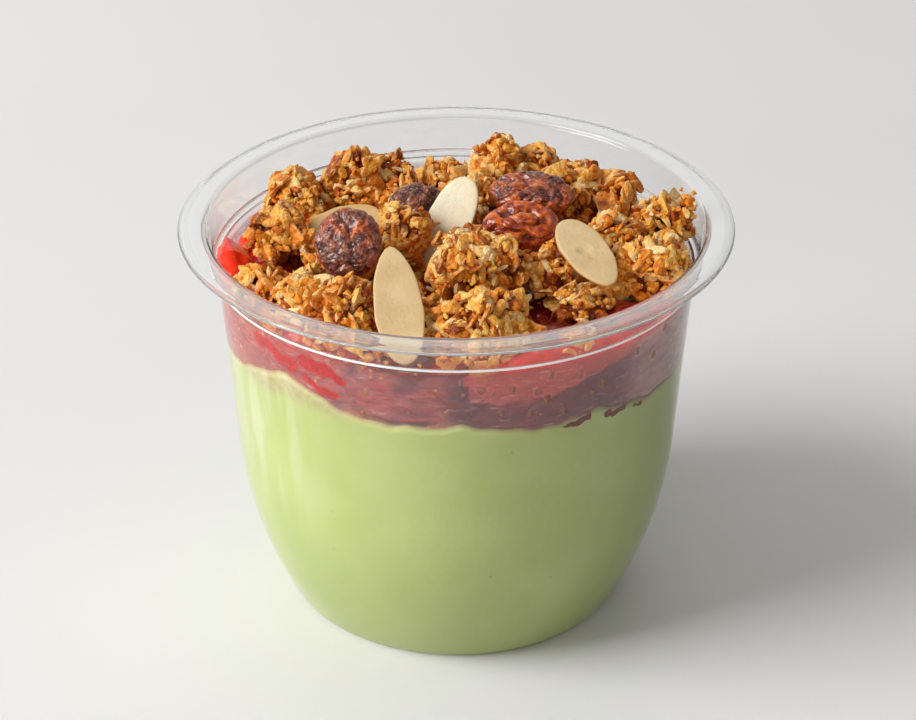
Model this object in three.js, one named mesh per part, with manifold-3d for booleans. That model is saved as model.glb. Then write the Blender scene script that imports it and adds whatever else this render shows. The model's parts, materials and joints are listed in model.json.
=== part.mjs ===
// A matcha dessert pot: a clear plastic tub of matcha cream under sliced strawberries,
// with granola clusters, raisins and flaked almonds on top.
// Millimetres and degrees, +Z up, the origin at the middle of the base, the shown side at -Y.
import * as THREE from "three";
import { mergeVertices } from "three/addons/utils/BufferGeometryUtils.js";
import Module from "manifold-3d";

const wasm = await Module();
wasm.setup();
const degrees = THREE.MathUtils.degToRad;

// ---- driving dimensions ----
const gap = 0.3; // kept between pieces that touch
const growth = gap * 1.2; // corners moved out this far leave faces the gap apart

// How finely the shapes are faceted.
const facets = {
  turn: 32, // round the tub and the cream
  corner: 2, // up the bottom corner
  wall: 4, // up the wall
  surface: 3, // from the middle of the cream's surface out
  lump: [8, 5], // round and down a cluster or raisin
  slice: [9, 4], // round and through a strawberry slice
  curve: 3, // along a quarter of an almond flake's outline
};

const tub = {
  height: 70.5,
  wall: 0.6,
  rimRadius: 47.5,
  lipDrop: 0.9, // how far the rim's edge turns down
  lipWidth: 1.7,
  mouthRadius: 42.3, // inside the collar, at the top
  mouthRound: 0.8, // from the collar into the flange
  ledgeHeight: 62.9, // the step that nested tubs rest on
  ledgeWidth: 0.9,
  ledgeRise: 0.5,
  bodyRadius: 41, // outside, just under the ledge
  draft: 0.08, // slope of the straight upper wall
  bellyHeight: 30, // below this the wall curves in
  bellyCurve: 72, // radius of that curve
  baseRound: 2.2, // radius of the bottom corner
  recessRadius: 22,
  recessRise: 0.9,
  recessSlope: 1.2,
};

const cream = {
  level: 51.3, // where it meets the wall
  slope: 1.5, // how much higher it stands at the left, and lower at the right
  lift: 0.6, // how much higher at the front, and lower at the back
  dome: 1.2, // how much higher in the middle
  smear: { rise: 4.4, round: -44, spread: 15 }, // pushed up the wall, an angle from the front
};

const granolaLump = 0.15; // how deep the lumps are, as a share of the size
const raisinLump = 0.05;
const berryTaper = 0.3; // how much narrower a slice gets towards its tip
const flakeThickness = 1.2;

const looks = {
  plastic: { color: 0xeef1f1, roughness: 0.08, transparent: true, opacity: 0.3 },
  cream: { color: 0xbecb8a, roughness: 0.4 },
  strawberry: { color: 0xc8281a, roughness: 0.3 },
  granola: { color: 0xc88c46, roughness: 0.65 },
  raisin: { color: 0x602c22, roughness: 0.45 },
  almond: { color: 0xead6b0, roughness: 0.6 },
};

// ---- where the food lies ----
// Almond flakes: the middles of the round end and of the pointed end, the width, and the way
// that the broad side faces.
const flakes = [
  { round: [2.2, 6.4, 74.8], point: [-5, -3.6, 62.2], width: 7.8, face: [0, -1, 0.5] },
  { round: [-8.2, -37.4, 62.4], point: [-11, -23, 76.6], width: 9.2, face: [0, -1, 0.6] },
  { round: [18, -7.2, 73.2], point: [25.6, -21, 68.4], width: 8.4, face: [0.1, -0.5, 1] },
  { round: [-12.4, 0.6, 69.4], point: [-25.4, 3, 67.2], width: 8, face: [0.1, -0.5, 1] },
];

// Raisins: the middle, the half sizes, and the turn about X and Z.
const raisins = [
  { at: [-18, -12, 71.6], half: [5.7, 5.9, 3], turn: [52, -8] },
  { at: [-6.4, 5.4, 70], half: [5.4, 4.4, 3.4], turn: [20, -12] },
  { at: [12.9, 7.4, 71.3], half: [7.3, 4.4, 3.7], turn: [15, -10] },
  { at: [10.9, -2.9, 70.4], half: [6.2, 4.2, 3.1], turn: [25, 6] },
];

// Granola clusters: the middle and the half sizes, from the back row to the front.
const clusters = [
  { at: [-28, 18.2, 65.2], half: [6, 5.8, 5.3] },
  { at: [-18.4, 22.3, 66.4], half: [5.4, 5.8, 5.8] },
  { at: [-11, 23.5, 65], half: [4.6, 5, 5] },
  { at: [-1.3, 26, 64.6], half: [4.4, 5.2, 4.4] },
  { at: [7.3, 25, 67.2], half: [4.4, 5, 6.6] },
  { at: [15, 28, 66], half: [4, 4.4, 5.2] },
  { at: [20, 18.8, 66.8], half: [5.6, 5.4, 5.6] },
  { at: [28.7, 17.4, 65.4], half: [3.9, 4.6, 5.2] },
  { at: [36, 4.6, 66.8], half: [5.7, 5.8, 5.8] },
  { at: [26.4, -2.6, 67], half: [6.2, 5, 5] },
  { at: [33, -11, 66], half: [6.8, 6.4, 5.7] },
  { at: [-30.2, -1.6, 66.6], half: [5.9, 6.8, 6.2] },
  { at: [-32.2, -13.2, 63.6], half: [4.8, 4.8, 4.2] },
  { at: [-25.2, -19.6, 64.8], half: [4.4, 4.6, 4] },
  { at: [-17.6, -24.6, 66.2], half: [4.8, 5.4, 6] },
  { at: [-9.4, -1.8, 67.2], half: [5.4, 5.4, 5.8] },
  { at: [2.8, -13.6, 68], half: [8.8, 6.8, 6.5] },
  { at: [4.4, -30, 65.4], half: [9.2, 7, 7] },
  { at: [16.6, -11, 66.6], half: [4.8, 4.8, 4.6] },
  { at: [20.6, -21.6, 63.8], half: [5.6, 4.6, 4.4] },
  { at: [-23.4, -12.6, 64.8], half: [4.6, 4.4, 4.4] },
  { at: [3.4, 13.4, 66.2], half: [6, 6.2, 5] },
  { at: [-18, -4.4, 63.6], half: [5.2, 5.2, 3.8] },
  { at: [-8.4, 12.2, 64.8], half: [5.2, 5.4, 4.4] },
  { at: [13, 4, 64.6], half: [5.6, 5.8, 4.4] },
  { at: [-34, -16.4, 59], half: [4.2, 4.6, 3] },
];

// Strawberry slices: the angle from the front towards +X, the radius at which the middle lies,
// half the length, depth and thickness, and how far the outer edge tips up.
const shownSlices = [
  { round: 33, radius: 33.5, z: 60, half: [21, 8.6, 4], lean: 4 },
  { round: 36, radius: 33.6, z: 53.4, half: [22, 8.6, 3.4], lean: 0 },
  { round: -11, radius: 33, z: 57.2, half: [13, 9, 5.2], lean: 0 },
  { round: -41, radius: 33.5, z: 59.9, half: [12.5, 8, 3.6], lean: 4 },
  { round: -34, radius: 34, z: 55.4, half: [11, 8, 2.4], lean: 3 },
  { round: -80, radius: 37.4, z: 59.8, half: [12, 7.6, 3.3], lean: 78 },
  { round: 67, radius: 34, z: 59.4, half: [13, 8.8, 3.6], lean: 5 },
  { round: -64, radius: 31, z: 55.4, half: [11, 8, 3], lean: 0 },
];
const backRow = { slices: 5, from: 108, step: 37, radius: 33, z: 57.4, half: [13, 8.4, 4.5] };
const middleRow = { slices: 4, from: 86, step: 90, radius: 15, z: 57.4, half: [14.5, 12, 4] };
const scatter = { radius: 1.2, z: 0.7, lean: 6 }; // how far a row's slices stray

function rowOfSlices(row) {
  return Array.from({ length: row.slices }, (_, i) => ({
    round: row.from + row.step * i,
    radius: row.radius + scatter.radius * Math.sin(2.4 * i),
    z: row.z + scatter.z * Math.cos(1.9 * i),
    half: row.half,
    lean: scatter.lean * Math.sin(1.3 * i + 1),
  }));
}

const slices = [...shownSlices, ...rowOfSlices(backRow), ...rowOfSlices(middleRow)];

// ---- the tub ----
const wallLean = Math.atan(tub.draft);
const bellyRadius = tub.bodyRadius - tub.draft * (tub.ledgeHeight - tub.bellyHeight);
const curveCentre = {
  r: bellyRadius - tub.bellyCurve * Math.cos(wallLean),
  z: tub.bellyHeight + tub.bellyCurve * Math.sin(wallLean),
};

// How far the wall leans out from upright at a height.
function leanAt(z) {
  return z >= tub.bellyHeight ? wallLean : Math.asin((curveCentre.z - z) / tub.bellyCurve);
}

// Radius of the surface that lies a depth inside the tub's outer face.
function wallRadius(z, depth) {
  const outer =
    z >= tub.bellyHeight
      ? bellyRadius + tub.draft * (z - tub.bellyHeight)
      : curveCentre.r + Math.sqrt(tub.bellyCurve ** 2 - (z - curveCentre.z) ** 2);
  return outer - depth / Math.cos(leanAt(z));
}

// Half profile from the middle of the base up to the ledge, a depth inside the outer face.
function bodyProfile(depth) {
  const round = tub.baseRound - depth / 2;
  const cornerLean = leanAt(depth + round / 2);
  const cornerTop = depth + round * (1 - Math.sin(cornerLean));
  const cornerMiddle = wallRadius(cornerTop, depth) - round * Math.cos(cornerLean);
  const points = [
    [0, tub.recessRise + depth],
    [tub.recessRadius - depth, tub.recessRise + depth],
    [tub.recessRadius + tub.recessSlope - depth / 2, depth],
  ];
  for (let i = 0; i <= facets.corner; i++) {
    const turn = ((Math.PI / 2 - cornerLean) * i) / facets.corner;
    points.push([
      cornerMiddle + round * Math.sin(turn),
      depth + round * (1 - Math.cos(turn)),
    ]);
  }
  for (let i = 1; i <= facets.wall; i++) {
    const climb = (i / facets.wall) ** 1.4; // shorter steps where the wall curves most
    const z = cornerTop + (tub.ledgeHeight - cornerTop) * climb;
    points.push([wallRadius(z, depth), z]);
  }
  return points;
}

// A closed profile of radius and height, turned round the Z axis.
function turned(points) {
  const profile = points.map(([r, z]) => new THREE.Vector2(r, z));
  return new THREE.LatheGeometry(profile, facets.turn).rotateX(Math.PI / 2);
}

function tubShape() {
  const top = tub.height;
  const under = top - tub.wall;
  const edge = top - tub.lipDrop;
  const lipStart = tub.rimRadius - tub.lipWidth;
  const collarFoot = tub.bodyRadius - tub.wall + tub.ledgeWidth;
  const shelf = tub.ledgeHeight + tub.ledgeRise;
  const collarAndRim = [
    [collarFoot + tub.wall, shelf - tub.wall / 2],
    [tub.mouthRadius + tub.wall, under - tub.mouthRound / 2],
    [tub.mouthRadius + tub.mouthRound + tub.wall / 2, under],
    [lipStart, under],
    [tub.rimRadius - tub.wall, edge],
    [tub.rimRadius - tub.wall / 4, edge],
    [tub.rimRadius, edge + tub.wall / 2],
    [tub.rimRadius - tub.wall, top - tub.wall / 4],
    [lipStart, top],
    [tub.mouthRadius + tub.mouthRound, top],
    [tub.mouthRadius + tub.mouthRound / 4, top - tub.mouthRound / 4],
    [tub.mouthRadius, top - tub.mouthRound],
    [collarFoot, shelf + tub.wall / 2],
    [collarFoot - tub.ledgeWidth, shelf],
  ];
  return turned([...bodyProfile(0), ...collarAndRim, ...bodyProfile(tub.wall).reverse()]);
}

// The space in the tub and above it, less the gap: no food passes it.
function spaceShape() {
  const collarFoot = tub.bodyRadius - tub.wall + tub.ledgeWidth - gap;
  const ceiling = tub.height * 1.5;
  const shelf = tub.ledgeHeight + tub.ledgeRise + gap;
  return turned([
    ...bodyProfile(tub.wall + gap),
    [wallRadius(tub.ledgeHeight, tub.wall + gap), shelf],
    [collarFoot, shelf + tub.wall],
    [tub.mouthRadius - gap, tub.height - tub.mouthRound],
    [tub.mouthRadius - gap, ceiling],
    [0, ceiling],
  ]);
}

// ---- the food's shapes ----
// A block under the cream's uneven surface, wider than the tub, which trims it.
function creamShape() {
  const wall = wallRadius(cream.level, 0);
  const outer = wall * 1.1;
  const surface = [];
  for (let i = facets.surface; i >= 0; i--) {
    surface.push([(outer * i) / facets.surface, cream.level]);
  }
  const shape = turned([[0, -1], [outer, -1], ...surface]);
  const position = shape.attributes.position;
  for (let i = 0; i < position.count; i++) {
    if (position.getZ(i) < 0) continue;
    const x = position.getX(i);
    const y = position.getY(i);
    const share = Math.hypot(x, y) / wall;
    const round = THREE.MathUtils.radToDeg(Math.atan2(x, -y));
    const smear = Math.exp(-(((round - cream.smear.round) / cream.smear.spread) ** 2));
    const tilt = (-cream.slope * x - cream.lift * y) / wall;
    const dome = cream.dome * (1 - share ** 2);
    position.setZ(i, cream.level + tilt + dome + cream.smear.rise * smear * share ** 4);
  }
  return shape;
}

// A round body pushed in and out into lumps. The seed makes each one different.
function lumpyShape(half, lump, seed) {
  const shape = new THREE.SphereGeometry(1, ...facets.lump);
  const position = shape.attributes.position;
  const way = new THREE.Vector3();
  for (let i = 0; i < position.count; i++) {
    way.fromBufferAttribute(position, i);
    const swell =
      Math.sin(3.1 * way.x + 1.7 * seed) * Math.cos(2.7 * way.y + seed) +
      0.7 * Math.sin(4.3 * way.z + 2.3 * seed + 1.9 * way.x) +
      0.5 * Math.cos(5.2 * way.y - 1.3 * seed);
    way.multiplyScalar(1 + lump * swell);
    position.setXYZ(i, way.x * half[0], way.y * half[1], way.z * half[2]);
  }
  return shape;
}

// A lengthwise slice of strawberry: flat cut faces above and below, skin all round, broad at
// the stalk end (-X) and narrow at the tip (+X).
function sliceShape(half) {
  const shape = new THREE.SphereGeometry(1, ...facets.slice).rotateX(Math.PI / 2);
  const position = shape.attributes.position;
  for (let i = 0; i < position.count; i++) {
    const x = position.getX(i);
    const y = position.getY(i) * (1 - berryTaper * x);
    const z = Math.sign(position.getZ(i)) * Math.abs(position.getZ(i)) ** 0.3;
    position.setXYZ(i, x * half[0], y * half[1], z * half[2]);
  }
  return shape;
}

// A flake of almond: a thin oval, round at one end (-Y) and narrower at the other.
function flakeShape(length, width) {
  const l = length / 2;
  const w = width / 2;
  const outline = new THREE.Shape();
  outline.moveTo(0, -l);
  outline.bezierCurveTo(w * 0.7, -l, w, -l * 0.55, w, -l * 0.1);
  outline.bezierCurveTo(w, l * 0.4, w * 0.5, l * 0.8, 0, l);
  outline.bezierCurveTo(-w * 0.5, l * 0.8, -w, l * 0.4, -w, -l * 0.1);
  outline.bezierCurveTo(-w, -l * 0.55, -w * 0.7, -l, 0, -l);
  const cut = { depth: flakeThickness, bevelEnabled: false, curveSegments: facets.curve };
  return new THREE.ExtrudeGeometry(outline, cut).translate(0, 0, -flakeThickness / 2);
}

// ---- cutting ----
function withoutLooks(shape) {
  const bare = shape.clone();
  bare.deleteAttribute("normal");
  bare.deleteAttribute("uv");
  return mergeVertices(bare);
}

function toSolid(shape) {
  const merged = withoutLooks(shape);
  const corners = merged.index.array;
  const triVerts = [];
  for (let i = 0; i < corners.length; i += 3) {
    const [a, b, c] = corners.slice(i, i + 3);
    if (a !== b && b !== c && c !== a) triVerts.push(a, b, c);
  }
  return new wasm.Manifold(
    new wasm.Mesh({
      numProp: 3,
      vertProperties: merged.attributes.position.array,
      triVerts: new Uint32Array(triVerts),
    }),
  );
}

function toGeometry(solid) {
  const mesh = solid.getMesh();
  const shape = new THREE.BufferGeometry();
  shape.setAttribute("position", new THREE.BufferAttribute(mesh.vertProperties, 3));
  shape.setIndex(new THREE.BufferAttribute(mesh.triVerts, 1));
  shape.computeVertexNormals();
  return shape;
}

// A copy whose corners are moved out along the surface's direction there.
function grown(shape) {
  const swollen = withoutLooks(shape);
  swollen.computeVertexNormals();
  const { position, normal } = swollen.attributes;
  for (let i = 0; i < position.count; i++) {
    position.setXYZ(
      i,
      position.getX(i) + normal.getX(i) * growth,
      position.getY(i) + normal.getY(i) * growth,
      position.getZ(i) + normal.getZ(i) * growth,
    );
  }
  return swollen;
}

function largest(solid) {
  return solid.decompose().reduce((a, b) => (a.volume() > b.volume() ? a : b));
}

// ---- placing ----
const space = toSolid(spaceShape());
const laid = []; // each piece laid so far, grown by the gap, with its box
const pot = new THREE.Group();

// Adds a piece, trimmed by the tub and by the pieces that were laid before it.
function lay(name, shape, place, look) {
  place.updateMatrix();
  const whole = shape.clone().applyMatrix4(place.matrix);
  const swollen = grown(whole);
  const box = new THREE.Box3().setFromBufferAttribute(swollen.attributes.position);
  let solid = toSolid(whole).intersect(space);
  for (const other of laid) {
    if (other.box.intersectsBox(box)) solid = solid.subtract(other.solid);
  }
  laid.push({ solid: toSolid(swollen), box });
  const trimmed = toGeometry(largest(solid)).applyMatrix4(place.matrix.clone().invert());
  const mesh = new THREE.Mesh(trimmed, new THREE.MeshStandardMaterial({ ...look, metalness: 0 }));
  mesh.name = name;
  mesh.position.copy(place.position);
  mesh.quaternion.copy(place.quaternion);
  pot.add(mesh);
}

function placeAt(at, turnX, turnZ) {
  const place = new THREE.Object3D();
  place.position.set(...at);
  place.rotation.set(degrees(turnX), 0, degrees(turnZ), "ZYX");
  return place;
}

// A flake's place: its length (Y) runs from the round end to the point, its side (Z) faces out.
function placeFlake({ round, point, face }) {
  const from = new THREE.Vector3(...round);
  const along = new THREE.Vector3(...point).sub(from).normalize();
  const across = along.clone().cross(new THREE.Vector3(...face)).normalize();
  const out = across.clone().cross(along);
  const place = new THREE.Object3D();
  place.quaternion.setFromRotationMatrix(new THREE.Matrix4().makeBasis(across, along, out));
  place.position.copy(from).lerp(new THREE.Vector3(...point), 0.5);
  return place;
}

function placeSlice({ round, radius, z, lean }) {
  const x = radius * Math.sin(degrees(round));
  const y = -radius * Math.cos(degrees(round));
  return placeAt([x, y, z], -lean, round);
}

// ---- the pot ----
const clearPlastic = new THREE.MeshStandardMaterial({ ...looks.plastic, metalness: 0 });
const tubMesh = new THREE.Mesh(tubShape(), clearPlastic);
tubMesh.name = "tub";
pot.add(tubMesh);

flakes.forEach((flake, i) => {
  const length = new THREE.Vector3(...flake.round).distanceTo(new THREE.Vector3(...flake.point));
  const shape = flakeShape(length, flake.width);
  lay(`almond_flake_${i + 1}`, shape, placeFlake(flake), looks.almond);
});

raisins.forEach((raisin, i) => {
  const shape = lumpyShape(raisin.half, raisinLump, i + 1);
  lay(`raisin_${i + 1}`, shape, placeAt(raisin.at, ...raisin.turn), looks.raisin);
});

clusters.forEach((cluster, i) => {
  const shape = lumpyShape(cluster.half, granolaLump, i + 3);
  lay(`granola_${i + 1}`, shape, placeAt(cluster.at, 0, 0), looks.granola);
});

slices.forEach((slice, i) => {
  lay(`strawberry_${i + 1}`, sliceShape(slice.half), placeSlice(slice), looks.strawberry);
});

lay("matcha_cream", creamShape(), new THREE.Object3D(), looks.cream);

export default pot;
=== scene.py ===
import json
import math
import time

import bpy
import numpy as np
from mathutils import Matrix, Vector, noise

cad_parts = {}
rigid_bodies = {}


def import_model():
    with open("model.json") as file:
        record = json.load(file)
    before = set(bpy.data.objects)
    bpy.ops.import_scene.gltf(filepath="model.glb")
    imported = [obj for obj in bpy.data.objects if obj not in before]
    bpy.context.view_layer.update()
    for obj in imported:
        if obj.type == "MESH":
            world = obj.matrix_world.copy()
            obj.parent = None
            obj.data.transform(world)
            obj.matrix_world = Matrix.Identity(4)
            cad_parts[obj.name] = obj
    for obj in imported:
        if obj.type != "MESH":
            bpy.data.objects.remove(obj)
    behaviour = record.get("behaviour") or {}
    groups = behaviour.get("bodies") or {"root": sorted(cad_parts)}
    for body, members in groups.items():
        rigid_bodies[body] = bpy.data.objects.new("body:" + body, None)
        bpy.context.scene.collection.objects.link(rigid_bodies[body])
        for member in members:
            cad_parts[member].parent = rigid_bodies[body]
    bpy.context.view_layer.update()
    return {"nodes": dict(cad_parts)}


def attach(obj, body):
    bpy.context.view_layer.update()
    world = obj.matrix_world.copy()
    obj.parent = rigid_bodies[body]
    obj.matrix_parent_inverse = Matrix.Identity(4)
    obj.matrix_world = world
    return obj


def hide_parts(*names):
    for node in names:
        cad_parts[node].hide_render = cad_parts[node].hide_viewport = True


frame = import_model()
mm = 0.001
dice = np.random.default_rng(11)  # the same scatter each run
began = time.perf_counter()


def say(*words):  # a line for each stage, with the seconds so far
    print(f"{time.perf_counter() - began:5.1f} s ", *words)


# Selecting, modifying and measuring.
def deselectAll():
    if bpy.context.mode != "OBJECT":
        bpy.ops.object.mode_set(mode="OBJECT")
    bpy.ops.object.select_all(action="DESELECT")


def pick(piece):
    deselectAll()
    bpy.context.view_layer.objects.active = piece
    piece.select_set(True)
    return piece


def modify(piece, kind, **settings):
    pick(piece)
    step = piece.modifiers.new(kind.title(), kind)
    for name, value in settings.items():
        setattr(step, name, value)
    bpy.ops.object.modifier_apply(modifier=step.name)


def spotsOf(piece):  # corner places in millimetres
    spots = np.empty(len(piece.data.vertices) * 3)
    piece.data.vertices.foreach_get("co", spots)
    return spots.reshape(-1, 3) / mm


def moveTo(piece, spots):
    piece.data.vertices.foreach_set("co", (spots * mm).ravel())
    piece.data.update()


def normalsOf(piece):
    ways = np.empty(len(piece.data.vertices) * 3)
    piece.data.vertices.foreach_get("normal", ways)
    return ways.reshape(-1, 3)


def mark(piece, name, values):  # a number at each corner, for the materials
    layer = piece.data.attributes.new(name, "FLOAT", "POINT")
    layer.data.foreach_set("value", np.asarray(values, dtype=np.float32))


def fromParts(name, spots, links, faces):  # places in millimetres
    mesh = bpy.data.meshes.new(name)
    mesh.from_pydata((np.asarray(spots) * mm).tolist(), links, faces)
    piece = bpy.data.objects.new(name, mesh)
    bpy.context.scene.collection.objects.link(piece)
    return piece


def finishPiece(piece, name, finish, nodes=()):
    pick(piece)
    bpy.ops.object.transform_apply(location=True, rotation=True, scale=True)
    bpy.ops.object.shade_smooth()
    piece.name = piece.data.name = name
    piece.data.materials.clear()
    piece.data.materials.append(finish)
    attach(piece, "root")
    if nodes:
        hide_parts(*nodes)
    deselectAll()
    return piece


def smoothStep(low, high, x):
    t = np.clip((np.asarray(x, float) - low) / (high - low), 0, 1)
    return t * t * (3 - 2 * t)


def unit(ways):
    ways = np.asarray(ways, float)
    return ways / np.maximum(np.linalg.norm(ways, axis=-1, keepdims=True), 1e-9)


def cloud(spots, size, seed=0.0):  # smooth noise at each place, about -1 to 1
    shift = Vector((seed * 7.3, seed * 3.1, seed * 5.7))
    return np.array([noise.noise(Vector(p) / size + shift) for p in spots])


def axesTurned(around, tilt):  # a tilt about X, then a turn about Z, in degrees
    turn = Matrix.Rotation(math.radians(around), 3, "Z")
    return np.array(turn @ Matrix.Rotation(math.radians(tilt), 3, "X"))


def thinned(spots, gap, most=None, kept=()):  # picks spots that are no closer than the gap
    taken = np.empty((len(spots) + len(kept), 3))
    taken[: len(kept)] = np.reshape(kept, (-1, 3))
    count, chosen = len(kept), []
    for i, spot in enumerate(spots):
        if count and (((taken[:count] - spot) ** 2).sum(1) < gap * gap).any():
            continue
        taken[count] = spot
        count += 1
        chosen.append(i)
        if most is not None and len(chosen) >= most:
            break
    return chosen


def roundFrom(spots):  # angle from the front towards +X
    return np.degrees(np.arctan2(spots[:, 0], -spots[:, 1]))


# Shader maths.
class Thread:  # a socket that takes part in sums: each sign adds one Math node
    def __init__(self, look, socket):
        self.look, self.socket = look, socket

    def maths(self, operation, *values):
        return self.look.add("Math", {"operation": operation}, dict(enumerate(values)))

    def __add__(self, other):
        return self.maths("ADD", self, other)

    def __radd__(self, other):
        return self.maths("ADD", other, self)

    def __sub__(self, other):
        return self.maths("SUBTRACT", self, other)

    def __rsub__(self, other):
        return self.maths("SUBTRACT", other, self)

    def __mul__(self, other):
        return self.maths("MULTIPLY", self, other)

    def __rmul__(self, other):
        return self.maths("MULTIPLY", other, self)

    def __pow__(self, other):
        return self.maths("POWER", self, other)

    def within(self, low, high, start=0.0, end=1.0):  # eased step from low to high
        return self.look.add(
            "MapRange",
            {"interpolation_type": "SMOOTHSTEP"},
            {"Value": self, "From Min": low, "From Max": high, "To Min": start, "To Max": end},
        )


class Look:  # a material, or the world, and the nodes it is made of
    def __init__(self, name, kind="Material"):
        self.owner = getattr(bpy.data, kind.lower() + "s").new(name)
        self.owner.use_nodes = True
        self.tree = self.owner.node_tree
        self.tree.nodes.clear()
        self.end = self.tree.nodes.new("ShaderNodeOutput" + kind)

    def add(self, kind, settings=None, sockets=None, out=0):
        node = self.tree.nodes.new("ShaderNode" + kind)
        for name, value in (settings or {}).items():
            if name == "stops":
                ramp = node.color_ramp
                while len(ramp.elements) < len(value):
                    ramp.elements.new(0.5)
                for stop, (place, colour) in zip(ramp.elements, value):
                    stop.position, stop.color = place, colour
            else:
                setattr(node, name, value)
        for name, value in (sockets or {}).items():
            socket = node.inputs[name]
            if isinstance(value, Thread):
                self.tree.links.new(value.socket, socket)
            else:
                socket.default_value = value
        return Thread(self, node.outputs[out])

    def place(self):
        return self.add("TexCoord", out="Object")

    def mark(self, name):
        return self.add("Attribute", {"attribute_name": name}, out="Fac")

    def grain(self, size, detail=2.0, roughness=0.5, distortion=0.0, at=None):
        values = {
            "Vector": at or self.place(),
            "Scale": 1 / (size * mm),
            "Detail": detail,
            "Roughness": roughness,
            "Distortion": distortion,
        }
        return self.add("TexNoise", {}, values)

    def stretched(self, scale):
        return self.add("Mapping", {}, {"Vector": self.place(), "Scale": scale})

    def mix(self, factor, one, other, way="MIX"):
        settings = {"data_type": "RGBA", "blend_type": way}
        return self.add("Mix", settings, {0: factor, 6: one, 7: other}, out=2)

    def bump(self, height, depth, strength=1.0, under=None):
        sockets = {"Height": height, "Distance": depth * mm, "Strength": strength}
        if under:
            sockets["Normal"] = under
        return self.add("Bump", {}, sockets)

    def shine(self, **sockets):
        named = {name.replace("_", " "): value for name, value in sockets.items()}
        return self.add("BsdfPrincipled", {}, named)

    def finish(self, shader):
        self.tree.links.new(shader.socket, self.end.inputs["Surface"])
        return self.owner


def paint(red, green, blue):  # screen values 0 to 255, as a linear colour
    line = []
    for value in (red, green, blue):
        share = value / 255
        line.append(share / 12.92 if share <= 0.04045 else ((share + 0.055) / 1.055) ** 2.4)
    return (*line, 1.0)


# The tub.
tubSizes = {
    "height": 70.5,
    "wall": 0.6,
    "rimRadius": 47.5,
    "lipDrop": 0.9,
    "lipWidth": 1.7,
    "mouthRadius": 42.3,
    "mouthRound": 0.8,
    "ledgeHeight": 62.9,
    "ledgeWidth": 0.9,
    "ledgeRise": 0.5,
    "bodyRadius": 41.0,
    "draft": 0.08,
    "bellyHeight": 30.0,
    "bellyCurve": 72.0,
    "baseRound": 2.2,
    "recessRadius": 22.0,
    "recessRise": 0.9,
    "recessSlope": 1.2,
    "beadHeight": 63.85,  # a round bead on the ledge's corner
    "beadRadius": 0.3,
    # painted reflection: how white the rim's flat band is made
    "rimPaintedSheen": 0.16,
    "stepsRound": 256,
    # rings with a painted highlight, where the plastic's corners would catch light: radius,
    # height, reach, how white
    "glintRings": [(42.15, 63.85, 0.38, 0.85), (47.45, 69.8, 0.3, 0.35), (45.8, 70.5, 0.25, 0.2),
                (42.5, 70.0, 0.3, 0.2), (47.0, 70.3, 0.2, 0.2)],
}

wallLean = math.atan(tubSizes["draft"])
bellyRadius = tubSizes["bodyRadius"] - tubSizes["draft"] * (
    tubSizes["ledgeHeight"] - tubSizes["bellyHeight"]
)
bellyCentre = (
    bellyRadius - tubSizes["bellyCurve"] * math.cos(wallLean),
    tubSizes["bellyHeight"] + tubSizes["bellyCurve"] * math.sin(wallLean),
)


def leanAt(z):
    low = np.arcsin(np.clip((bellyCentre[1] - z) / tubSizes["bellyCurve"], -1, 1))
    return np.where(z >= tubSizes["bellyHeight"], wallLean, low)


def wallRadius(z, depth):  # of the surface that lies a depth inside the outer face
    z = np.asarray(z, float)
    straight = bellyRadius + tubSizes["draft"] * (z - tubSizes["bellyHeight"])
    inside = np.clip(tubSizes["bellyCurve"] ** 2 - (z - bellyCentre[1]) ** 2, 0, None)
    outer = np.where(z >= tubSizes["bellyHeight"], straight, bellyCentre[0] + np.sqrt(inside))
    return outer - depth / np.cos(leanAt(z))


def bodyLine(depth, top, corner=8, wall=30):  # from the middle of the base up to a height
    size = tubSizes
    turn = size["baseRound"] - depth / 2
    lean = float(leanAt(np.array(depth + turn / 2)))
    cornerTop = depth + turn * (1 - math.sin(lean))
    middle = float(wallRadius(cornerTop, depth)) - turn * math.cos(lean)
    recess = size["recessRadius"] - depth
    line = [
        (0, size["recessRise"] + depth),
        (recess * 0.5, size["recessRise"] + depth),
        (recess - 0.5, size["recessRise"] + depth),
        (recess + 0.1, size["recessRise"] + depth - 0.1),
        (size["recessRadius"] + size["recessSlope"] - depth / 2 - 0.2, depth + 0.1),
        (size["recessRadius"] + size["recessSlope"] - depth / 2 + 0.5, depth),
    ]
    for i in range(corner + 1):
        angle = (math.pi / 2 - lean) * i / corner
        line.append((middle + turn * math.sin(angle), depth + turn * (1 - math.cos(angle))))
    for i in range(1, wall + 1):
        z = cornerTop + (top - cornerTop) * (i / wall) ** 1.3
        line.append((float(wallRadius(z, depth)), z))
    return line


def softened(line, reach, steps=5):  # rounds each corner of a line
    line = [np.array(p, float) for p in line]
    out = [tuple(line[0])]
    for before, corner, after in zip(line, line[1:], line[2:]):
        back, on = before - corner, after - corner
        cut = min(reach, np.linalg.norm(back) * 0.48, np.linalg.norm(on) * 0.48)
        start, end = corner + unit(back) * cut, corner + unit(on) * cut
        for i in range(steps + 1):
            t = i / steps
            spot = (1 - t) ** 2 * start + 2 * t * (1 - t) * corner + t * t * end
            out.append(tuple(spot))
    return out + [tuple(line[-1])]


def spun(name, line, steps, closed=False):
    spots = [(r, 0, z) for r, z in line]
    links = [(i, i + 1) for i in range(len(line) - 1)] + [(len(line) - 1, 0)] * closed
    piece = pick(fromParts(name, spots, links, []))
    bpy.ops.object.mode_set(mode="EDIT")
    bpy.ops.mesh.select_all(action="SELECT")
    bpy.ops.mesh.spin(steps=steps, angle=2 * math.pi, center=(0, 0, 0), axis=(0, 0, 1))
    bpy.ops.mesh.select_all(action="SELECT")
    bpy.ops.mesh.remove_doubles(threshold=2e-6)
    bpy.ops.mesh.normals_make_consistent(inside=False)
    bpy.ops.object.mode_set(mode="OBJECT")
    return piece


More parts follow.
